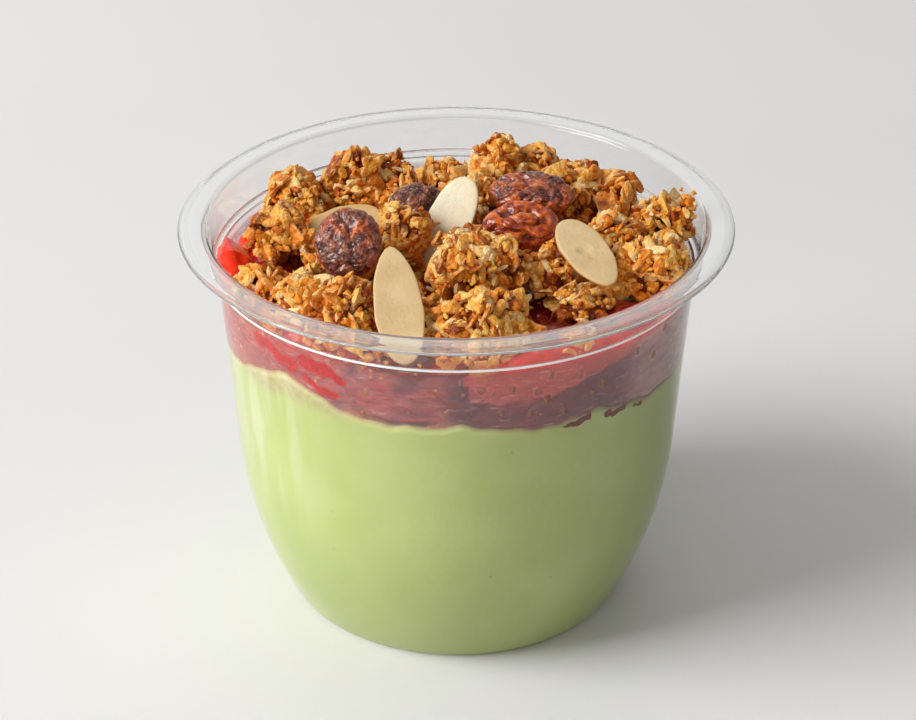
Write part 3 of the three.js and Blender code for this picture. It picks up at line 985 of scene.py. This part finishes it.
def raisinFinish():
    look = Look("raisin")
    crest, red, calm = look.mark("crest"), look.mark("red"), look.mark("calm")
    blotch = look.grain(1.6, 3, distortion=0.5)
    creases = look.grain(0.5, 3, distortion=0.8)
    dark = look.mix(blotch.within(0.35, 0.65), paint(74, 24, 18), paint(166, 84, 56))
    dark = look.mix(calm * 0.8, dark, paint(158, 82, 74))
    amber = look.mix(blotch.within(0.35, 0.65), paint(140, 34, 2), paint(228, 108, 12))
    fineness = 1 - red * 0.65  # the clear ones are smoother
    glow = (red * 1.1 + (look.grain(4.5, 1) - 0.5) * 1.4).within(0.35, 0.75)
    colour = look.mix(glow, dark, amber)
    low = crest.within(0.25, 0.6, 1, 0)
    shade = low * 0.6 + creases.within(0.35, 0.5, 0.4, 0) * fineness
    colour = look.mix(shade, colour, paint(56, 12, 6))
    # painted highlight: pale specks on the crests where glints would be
    glintSpecks = creases.within(0.54, 0.68) * crest.within(0.3, 0.7)
    colour = look.mix(glintSpecks * 0.6 * fineness, colour, paint(232, 178, 124))
    shader = look.shine(
        Base_Color=colour,
        Roughness=0.26,
        IOR=1.45,
        Subsurface_Weight=0.2,
        Subsurface_Radius=(1.0, 0.25, 0.12),
        Subsurface_Scale=1.2 * mm,
        Coat_Weight=0.8,
        Coat_Roughness=0.1,
        Normal=look.bump((creases + look.grain(0.28, 2) * 0.4) * fineness, 0.4),
    )
    return look.finish(shader)


def buildRaisins():
    finish = raisinFinish()
    for i, shape in enumerate(raisins["shapes"], 1):
        at, half, red = shape["at"], shape["half"], shape["red"]
        deselectAll()
        bpy.ops.mesh.primitive_ico_sphere_add(subdivisions=6, radius=mm)
        piece = bpy.context.object
        ball = spotsOf(piece)
        plump = 1 + 0.05 * cloud(ball, 0.8, i)
        spots = ball * half * plump[:, None]
        spots[:, 2] *= 1 - 0.2 * (1 - np.hypot(ball[:, 0], ball[:, 1]) ** 2)
        warp = 0.8 * np.column_stack([cloud(spots, 1.9, i + k) for k in (10, 20, 30)])
        laid = (spots + warp) * [1 - 0.62 * red, 1, 1]  # long wrinkles on the clear ones
        ridge = 1 - np.clip(np.abs(cloud(laid, 1.5, i + 40)) * 1.7, 0, 1)
        fine = 1 - np.clip(np.abs(cloud(laid, 0.7, i + 50)) * 1.9, 0, 1)
        crest = 0.55 * ridge + 0.45 * fine
        calm = 0.45 * smoothStep(0.8, 1.0, np.hypot(ball[:, 0], ball[:, 1]))  # a smoother rim
        depth = raisins["fold"] * (crest - 0.55) * (1 - calm) + 0.3 * cloud(spots, 2.6, i + 60)
        valley = 1 - np.clip(np.abs(cloud(spots, 4.2, i + 70)) * 5, 0, 1)
        depth -= 0.35 * valley * (1 - calm)
        groove = red * (1 - np.clip(np.abs(cloud(laid, 2.0, i + 80)) * 4, 0, 1))
        depth = depth * (1 - 0.4 * red) + 0.25 * red - 0.75 * groove
        crest = crest * (1 - 0.5 * red) + 0.4 * red - 0.5 * groove
        spots += unit(ball / half) * depth[:, None]
        spots = spots @ axesTurned(shape["swing"], shape["tilt"]).T + at
        for flake in almonds["flakes"]:  # pressed flat where it lies against a flake
            middle, axes, length = almondFrame(flake)
            side = np.dot(np.array(at) - middle, axes[:, 2])
            local = (spots - middle) @ axes
            near = np.abs(local[:, 0]) < flake["width"] / 2 + 1.5
            near &= np.abs(local[:, 1]) < length / 2 + 1.5
            limit = math.copysign(almonds["thick"] / 2 + 0.45, side)
            short = np.clip((limit - local[:, 2]) * np.sign(side), 0, 4)
            spots += (near * short * np.sign(side))[:, None] * axes[:, 2]
        moveTo(piece, spots)
        mark(piece, "crest", crest)
        mark(piece, "red", red + 0.35 * calm)
        mark(piece, "calm", calm * 2)
        finishPiece(piece, f"raisin_fruit_{i}", finish, [f"raisin_{i}"])
    say("raisins made:", len(raisins["shapes"]))


# The granola.
granola = {
    "clusters": 26,
    "coreInset": 1.4,  # the core lies this far inside the cluster
    "uneven": 1.25,  # how far the outline strays in and out
    "bunchGap": 3.8,  # between bunches of bits that lie the same way
    "edgeOn": 0.6,  # share of bunches that stand on edge
    "models": 6,  # shapes of each kind
    # how many on 100 square mm, the least gap between them, from and to length, half sizes of
    # one a millimetre long, how boxy and rough, how deep they sit, how pale, facets round and down
    "kinds": {
        "oats": {
            "many": 6, "gap": 2.1, "lengths": (3.8, 5.8), "half": (0.5, 0.18, 0.15),
            "boxy": 0.82, "rough": 0.15, "sunk": (0.04, 0.16), "pale": 0.68, "facets": (10, 9),
        },
        "slivers": {
            "many": 9, "gap": 1.4, "lengths": (3.0, 4.8), "half": (0.5, 0.15, 0.11),
            "boxy": 0.74, "rough": 0.16, "sunk": (0.08, 0.22), "pale": 0.76, "facets": (8, 7),
        },
        "flakes": {
            "many": 6, "gap": 2.0, "lengths": (3.0, 5.0), "half": (0.5, 0.34, 0.10),
            "boxy": 0.68, "rough": 0.18, "sunk": (0.08, 0.26), "pale": 0.6, "facets": (10, 7),
        },
        "nubs": {
            "many": 14, "gap": 1.1, "lengths": (1.5, 3.0), "half": (0.5, 0.38, 0.34),
            "boxy": 0.8, "rough": 0.3, "sunk": (0.10, 0.40), "pale": 0.55, "facets": (8, 6),
        },
        "crumbs": {
            "many": 50, "gap": 0.6, "lengths": (0.5, 1.3), "half": (0.5, 0.42, 0.36),
            "boxy": 0.8, "rough": 0.36, "sunk": (0.0, 0.5), "pale": 0.6, "facets": (5, 4),
        },
    },
    "thin": 0.2,  # bits with a smaller half height lie flat on each other
    "clusterTone": 0.08,  # how far whole clusters differ in tone
    # hollows that the granola leaves bare: from, to, how wide
    "bare": [
        ((14.7, -19.4, 63), (14.3, -32.6, 70), 2.5), ((17.5, -22.4, 63), (17, -35, 70), 1.9),
        ((23.8, -22.3, 63), (23.2, -33, 69), 1.5), ((28.6, -18.7, 63), (27.7, -31.9, 70), 2.3),
        ((-37, -2, 64.5), (-37, -3, 65), 4.5), ((-28.3, 0, 62), (-27.3, -15.7, 70), 1.7),
    ],
    "tries": 2600,  # places tried for the loose bits that lie on the berries
    "dropped": ["slivers", "nubs", "nubs", "flakes", "crumbs", "crumbs"],  # the mix on the berries
    "spilled": ["slivers", "nubs", "nubs", "crumbs", "crumbs", "crumbs"],  # the mix in the groups
    # groups of loose bits: the middle, half sizes, how many
    "loose": [
        ((40.3, 1.5, 72.4), (1.6, 3.0, 2.0), 40), ((-14, 16, 65.5), (5, 4, 1.5), 50),
        ((0, 3, 65), (4, 3, 1.5), 30), ((11, -12, 65.5), (3, 3, 1.2), 16),
        ((19, 11, 66), (4, 4, 1.5), 36), ((-4.6, -24.5, 66.4), (1.8, 2.6, 1.2), 18),
    ],
    "curlBend": 4.4,  # radians along a curled flake
    "strip": {"half": (0.5, 0.09, 0.055), "boxy": 0.72, "rough": 0.04, "facets": (10, 16)},
    # curled flakes: place, way of the middle, way of the hole, length before curling
    "curls": [((8.4, -17.7, 74.0), (0.9, 0.2, -0.5), (0.25, -1, 0.45), 6.8)],
    "crisp": 38,  # edges sharper than this many degrees stay crisp
    # bits that lie against the wall: kind, how many, from and to angle, from and to height
    "atWall": [
        ("nubs", 7, (-4, 9), (64.0, 65.8)), ("flakes", 3, (3, 9), (61.6, 64)),
        ("slivers", 5, (17, 32), (64.6, 66)), ("nubs", 16, (-50, -20), (63.8, 66.6)),
        ("slivers", 5, (-50, -20), (63.6, 66.4)), ("crumbs", 50, (-78, -16), (57.5, 66)),
        ("crumbs", 16, (-10, 34), (58, 66)), ("nubs", 5, (-84, -70), (56.5, 62)),
    ],
}


def bitModel(seed, facts, flat=False):  # a bit of oat, a millimetre long
    deselectAll()
    around, down = facts["facets"]
    bpy.ops.mesh.primitive_uv_sphere_add(segments=around, ring_count=down, radius=mm)
    model = bpy.context.object
    ball = spotsOf(model)[:, [2, 0, 1]]  # poles at the two ends
    half = facts["half"]
    own = np.random.default_rng(seed)
    spots = np.sign(ball) * np.abs(ball) ** facts["boxy"] * half
    lumps = 1.6 * cloud(ball, 0.8, seed) + own.uniform(-0.3, 0.3, len(ball))
    spots *= (1 + facts["rough"] * lumps)[:, None]
    x, y = spots[:, 0], spots[:, 1]
    arch, sway, twist = own.uniform(-0.5, 0.7), own.uniform(-0.35, 0.35), own.uniform(-0.6, 0.6)
    thin = half[2] < granola["thin"]
    if thin and not flat:
        spots[:, 2] += arch * (x**2 - 0.08) + twist * x * y + own.uniform(-0.4, 0.7) * y**2
        spots[:, 1] += sway * (x**2 - 0.08)
    edge = np.hypot(spots[:, 0] / 0.5, spots[:, 1] / max(half[1], 0.1))
    rim = smoothStep(0.6, 1.0, edge) if thin else 0.3 * own.random(len(ball))
    return takeModel(model, spots, rim=rim)


def toastFinish(name, darker):
    look = Look(name)
    tone, rim = look.mark("tone"), look.mark("rim")
    toast = (look.grain(1.3, 3) - 0.5) * 0.95 + tone
    stops = [
        (0.0, paint(84, 22, 2)),
        (0.28, paint(172, 76, 6)),
        (0.52, paint(238, 142, 28)),
        (0.78, paint(254, 191, 84)),
        (1.0, paint(255, 226, 166)),
    ]
    colour = look.add("ValToRGB", {"stops": stops}, {0: toast - darker})
    flecks = look.grain(0.5, 2).within(0.56, 0.74)
    colour = look.mix(flecks * 0.45, colour, paint(150, 66, 8))
    # paler rims on the bits: partly their own colour, partly painted highlight on edges that catch
    # light
    pale = rim.within(0.5, 1.0) * look.grain(1.2, 1).within(0.35, 0.6)
    colour = look.mix(pale * (0.6 * (1 - darker * 2)), colour, paint(250, 204, 136))
    rough = look.grain(0.75, 3) + look.grain(0.3, 2) * 0.35
    shader = look.shine(
        Base_Color=colour,
        Roughness=0.45,
        IOR=1.42,
        Subsurface_Weight=0.12,
        Subsurface_Radius=(1.0, 0.5, 0.2),
        Subsurface_Scale=0.8 * mm,
        Normal=look.bump(rough, 0.55),
    )
    return look.finish(shader)


def curled(model, bend):  # wraps a bit round a circle
    turn = model["spots"][:, 0] * bend
    reach = 1 / bend + model["spots"][:, 2]
    spots = np.column_stack([np.sin(turn) * reach, model["spots"][:, 1], np.cos(turn) * reach])
    return {**model, "spots": spots}


def surfaceOf(node):  # corner places of the node's triangles, and their normals and areas
    source = frame["nodes"][node]
    spots = spotsOf(source)
    source.data.calc_loop_triangles()
    index = np.empty(len(source.data.loop_triangles) * 3, np.int32)
    source.data.loop_triangles.foreach_get("vertices", index)
    corners = spots[index.reshape(-1, 3)]
    cross = np.cross(corners[:, 1] - corners[:, 0], corners[:, 2] - corners[:, 0])
    return corners, unit(cross), np.linalg.norm(cross, axis=1) / 2


def scattered(surface, count):
    corners, ways, areas = surface
    at = dice.choice(len(areas), count, p=areas / areas.sum())
    u, v = dice.random(count), dice.random(count)
    flip = u + v > 1
    u, v = np.where(flip, 1 - u, u), np.where(flip, 1 - v, v)
    a, b, c = corners[at, 0], corners[at, 1], corners[at, 2]
    return a + u[:, None] * (b - a) + v[:, None] * (c - a), ways[at]


def hollows():  # a row of balls along each
    return [
        (np.array(start) * (1 - t) + np.array(end) * t, width)
        for start, end, width in granola["bare"]
        for t in np.linspace(0, 1, 7)
    ]


def fruitAndNuts():  # the frames that the bits stay clear of
    frames = []
    for shape in raisins["shapes"]:
        axes = axesTurned(shape["swing"], shape["tilt"])
        frames.append((np.array(shape["at"]), axes, np.array(shape["half"]), 2))
    for flake in almonds["flakes"]:
        middle, axes, length = almondFrame(flake)
        half = np.array([flake["width"] / 2, length / 2, almonds["thick"] / 2 + 0.5])
        frames.append((middle, axes, half, 4))
    for place, reach in hollows():
        frames.append((place, np.eye(3), np.full(3, reach), 2))
    return frames


def roomAt(z):  # the widest that food may reach
    room = wallRadius(z, tubSizes["wall"]) - 0.15
    return np.where(z > tubSizes["ledgeHeight"] + 0.8, tubSizes["mouthRadius"] - 1.1, room)


def scooped(spots):  # presses a core back from the hollows
    for place, reach in hollows():
        ways = spots - place
        gap = np.linalg.norm(ways, axis=1)
        short = np.clip(reach - gap, 0, None) / np.maximum(gap, 1e-6)
        spots = spots + ways * short[:, None]
    return spots


def isClear(spots, frames):
    for middle, axes, half, power in frames:
        local = np.abs((spots - middle) @ axes) / half
        if ((local**power).sum(1) < 1.05).any():
            return False
    return bool((np.hypot(spots[:, 0], spots[:, 1]) < roomAt(spots[:, 2])).all())


def coreOf(node, seed):  # the crumbly middle of a cluster
    core = melted(node, 0.5, 3, f"core {seed}")
    spots, ways = spotsOf(core), normalsOf(core)
    rough = 0.55 * cloud(spots, 1.5, seed) + 0.4 * cloud(spots, 0.75, seed)
    out = granola["uneven"] * 1.3 * cloud(spots, 3.6, seed) + rough - granola["coreInset"]
    spots = spots + ways * out[:, None]
    spots = scooped(spots) + ways * (0.3 * cloud(spots, 1.2, seed + 5))[:, None]
    radius = np.hypot(spots[:, 0], spots[:, 1])
    spots[:, :2] *= np.minimum(1, roomAt(spots[:, 2]) / np.maximum(radius, 1e-6))[:, None]
    moveTo(core, spots)
    mark(core, "tone", 0.5 + 0.45 * rough)
    mark(core, "rim", np.clip(rough, 0, 1) * 0.4)
    return core


def onBerries():  # places on top of the slices, in patches, and over the gaps between them
    slices = [piece for piece in bpy.data.objects if piece.name.startswith("strawberry_slice")]
    tops = np.vstack([spotsOf(piece) for piece in slices])
    tops = tops[tops[:, 2] > 58]
    places = []
    for _ in range(granola["tries"]):
        turn = dice.uniform(-math.pi, math.pi)
        reach = 37 * math.sqrt(dice.random())
        x, y = reach * math.sin(turn), -reach * math.cos(turn)
        gap = np.hypot(tops[:, 0] - x, tops[:, 1] - y)
        isPatch = cloud(np.array([[x, y, 0.0]]), 6.0, 3)[0] > 0
        isGap = not (gap < 1.2).any()  # a hole between slices
        near = gap < (4.5 if isGap else 1.2)
        if (isGap or isPatch) and near.any():
            places.append(np.array([x, y, tops[near, 2].max() - isGap * 1.0]))
    return places


def bunchesOn(surface):  # bits near each other lie the same way
    spots, ways = scattered(surface, 80)
    kept = thinned(spots, granola["bunchGap"])
    planes = []
    for way in ways[kept]:
        if dice.random() < granola["edgeOn"]:
            across = np.cross(way, dice.normal(size=3))
            planes.append(unit(across + 0.35 * way * dice.normal()))
        else:
            planes.append(unit(way + 0.35 * dice.normal(size=3)))
    return spots[kept], planes


def anyModel(heap, kind):
    return heap["models"][kind][dice.integers(granola["models"])]


def addBit(heap, kind, model, turn, length, place, pale, spread=0.15):  # only where there is room
    if isClear((model["spots"] * length) @ turn.T + place, heap["frames"]):
        tone = np.clip(pale + spread * dice.normal(), 0.05, 1)
        heap["bits"][kind].append((model, turn, length, place, tone))


def coverCluster(heap, node, seed):
    surface = surfaceOf(node)
    area = surface[2].sum()
    middle, size = surface[0].mean((0, 1)), np.ptp(surface[0].reshape(-1, 3), axis=0)
    shade = dice.uniform(-granola["clusterTone"], granola["clusterTone"])
    bunches, planes = bunchesOn(surface)
    for kind, facts in granola["kinds"].items():
        spots, ways = scattered(surface, int(area * 4))
        ways = unit(ways + unit((spots - middle) / (size / 2) ** 2))
        out = granola["uneven"] * 1.3 * cloud(spots, 3.6, seed)
        stray = 0.3 if facts["half"][2] < granola["thin"] else 3.0
        for k in thinned(spots, facts["gap"], int(area * facts["many"] / 100)):
            way = ways[k]
            if way[2] < -0.5:  # hidden below
                continue
            near = int(np.argmin(np.linalg.norm(bunches - spots[k], axis=1)))
            plane = unit(planes[near] + stray * dice.normal(size=3))
            stands = 1 - abs(np.dot(plane, way))
            along = unit(np.cross(plane, way + 0.5 * dice.normal(size=3)))
            length = dice.uniform(*facts["lengths"])
            sunk = dice.uniform(*facts["sunk"]) * length * (0.5 + stands)
            place = spots[k] + way * (out[k] - sunk)
            turn = axesOf(plane, along)
            model = anyModel(heap, kind)
            addBit(heap, kind, model, turn, length, place, facts["pale"] + shade, 0.17)


def layAtWall(heap):  # bits that show through the plastic
    for kind, count, angles, heights in granola["atWall"]:
        facts = granola["kinds"][kind]
        for _ in range(count):
            angle = math.radians(dice.uniform(*angles))
            z = dice.uniform(*heights)
            length = dice.uniform(*facts["lengths"]) * 0.8
            way = np.array([math.sin(angle), -math.cos(angle), 0])
            reach = float(roomAt(np.array(z))) - facts["half"][2] * length - 0.1
            place = way * reach + [0, 0, z]
            along = np.cross(way, [0, 0, 1]) + 0.6 * dice.normal(size=3)
            model = anyModel(heap, kind)
            if kind == "crumbs" or isClear(place[None] * [0.98, 0.98, 1], heap["frames"]):
                bit = (model, axesOf(way, along), length, place, facts["pale"])
                heap["bits"][kind].append(bit)


def dropOnBerries(heap):
    for place in onBerries():
        kind = dice.choice(granola["dropped"])
        facts = granola["kinds"][kind]
        model = anyModel(heap, kind)
        length = dice.uniform(*facts["lengths"])
        turn = axesOf(0.35 * dice.normal(size=3) + [0, 0, 1.0], dice.normal(size=3))
        place = place + [0, 0, facts["half"][2] * length * 0.8]
        addBit(heap, kind, model, turn, length, place, facts["pale"])


def spillGroups(heap):
    for middle, half, count in granola["loose"]:
        for _ in range(count):
            kind = dice.choice(granola["spilled"])
            facts = granola["kinds"][kind]
            model = anyModel(heap, kind)
            place = middle + np.array(half) * dice.normal(size=3) * 0.5
            turn = axesOf(dice.normal(size=3) + [0, 0, 1.0], dice.normal(size=3))
            length = dice.uniform(*facts["lengths"])
            addBit(heap, kind, model, turn, length, place, facts["pale"])


def addCurls(heap):
    ring = curled(bitModel(7, granola["strip"], flat=True), granola["curlBend"])
    for place, along, face, length in granola["curls"]:
        turn = axesOf(np.cross(face, along), along)
        heap["bits"]["slivers"].append((ring, turn, length, np.array(place), 0.75))


def buildGranola():
    kinds = granola["kinds"]
    shapes = range(granola["models"])
    heap = {
        "models": {
            kind: [bitModel(20 * j + k, facts) for k in shapes]
            for j, (kind, facts) in enumerate(kinds.items())
        },
        "frames": fruitAndNuts(),
        "bits": {kind: [] for kind in kinds},
    }
    nodes = [f"granola_{i + 1}" for i in range(granola["clusters"])]
    cores = []
    for i, node in enumerate(nodes):
        cores.append(coreOf(node, i))
        coverCluster(heap, node, i)
    layAtWall(heap)
    dropOnBerries(heap)
    spillGroups(heap)
    addCurls(heap)
    deselectAll()
    for core in cores:
        core.select_set(True)
    bpy.context.view_layer.objects.active = cores[0]
    bpy.ops.object.join()
    # painted shade: the cores are made darker, for the shade in the hollows between the bits
    finishPiece(cores[0], "granola_cores", toastFinish("granola crumb", 0.3), nodes)
    toast = toastFinish("toasted oats", 0.0)
    for kind, bits in heap["bits"].items():
        piece = finishPiece(stamped(kind, bits), f"granola_{kind}", toast)
        pick(piece)
        bpy.ops.object.shade_smooth_by_angle(angle=math.radians(granola["crisp"]))
    say("granola made:", {kind: len(bits) for kind, bits in heap["bits"].items()})


# The camera, the floor and the light.
studio = {
    "camera": (0.302, -448.673, 291.163),
    "pitch": 28.97,  # degrees down from level
    "lens": 115.08,
    # each lamp's place, size, watts and colour
    "key": ((-1.18, -0.36, 1.02), (0.9, 0.9), 25.0, (0.99, 0.99, 1.0)),
    "back": ((-0.1, 1.1, 0.72), (1.1, 0.6), 1.9, (1, 1, 1)),
    "front": ((-0.25, -1.5, 0.3), (1.0, 0.45), 3.6, (1, 0.985, 0.95)),
    "world": ((1.0, 0.985, 0.95, 1), 0.26, 0.78),  # colour, strength overhead and level
    "horizon": (0.03, 0.2),
    "floor": 2.6,
}


def buildStudio():
    deselectAll()
    tilt = math.radians(90 - studio["pitch"])
    spot = [v * mm for v in studio["camera"]]
    bpy.ops.object.camera_add(location=spot, rotation=(tilt, 0, 0))
    camera = bpy.context.object
    camera.data.lens, camera.data.sensor_width = studio["lens"], 36
    camera.data.clip_start, camera.data.clip_end = 0.02, 20
    bpy.context.scene.camera = camera

    bpy.ops.mesh.primitive_plane_add(size=studio["floor"], location=(0, 0, -0.0001))
    floor = bpy.context.object
    floor.name = "floor"
    bpy.ops.object.transform_apply(location=True)
    look = Look("pale floor")
    soft = look.grain(160, 2).within(0.3, 0.7)
    tint = look.mix(soft, paint(241, 240, 240), paint(237, 236, 236))
    floor.data.materials.append(look.finish(look.shine(Base_Color=tint, Roughness=0.55)))

    def lamp(name, place, size, power, colour):
        way = Vector((0, 0, 0.04)) - Vector(place)
        bpy.ops.object.light_add(type="AREA", location=place)
        light = bpy.context.object
        light.name = name
        light.rotation_euler = way.to_track_quat("-Z", "Y").to_euler()
        light.data.shape = "RECTANGLE"
        light.data.size, light.data.size_y = size
        light.data.energy = power
        light.data.color = colour

    for name in ("key", "back", "front"):
        lamp(name, *studio[name])
    sky = Look("studio", "World")
    rise = sky.add("SeparateXYZ", {}, {0: sky.add("TexCoord", out="Generated")}, out=2)
    tint, high, low = studio["world"]  # pale round the horizon, dimmer overhead
    glow = rise.within(*studio["horizon"], low, high)
    light = sky.add("Background", {}, {"Color": tint, "Strength": glow})
    bpy.context.scene.world = sky.finish(light)
    bpy.context.scene.view_settings.view_transform = "Standard"
    cycles = bpy.context.scene.cycles
    cycles.max_bounces, cycles.transmission_bounces, cycles.transparent_max_bounces = 24, 24, 24
    say("studio made")


buildStudio()
buildTub()
buildCream()
buildSlices()
buildMist()
buildAlmonds()
buildRaisins()
buildGranola()
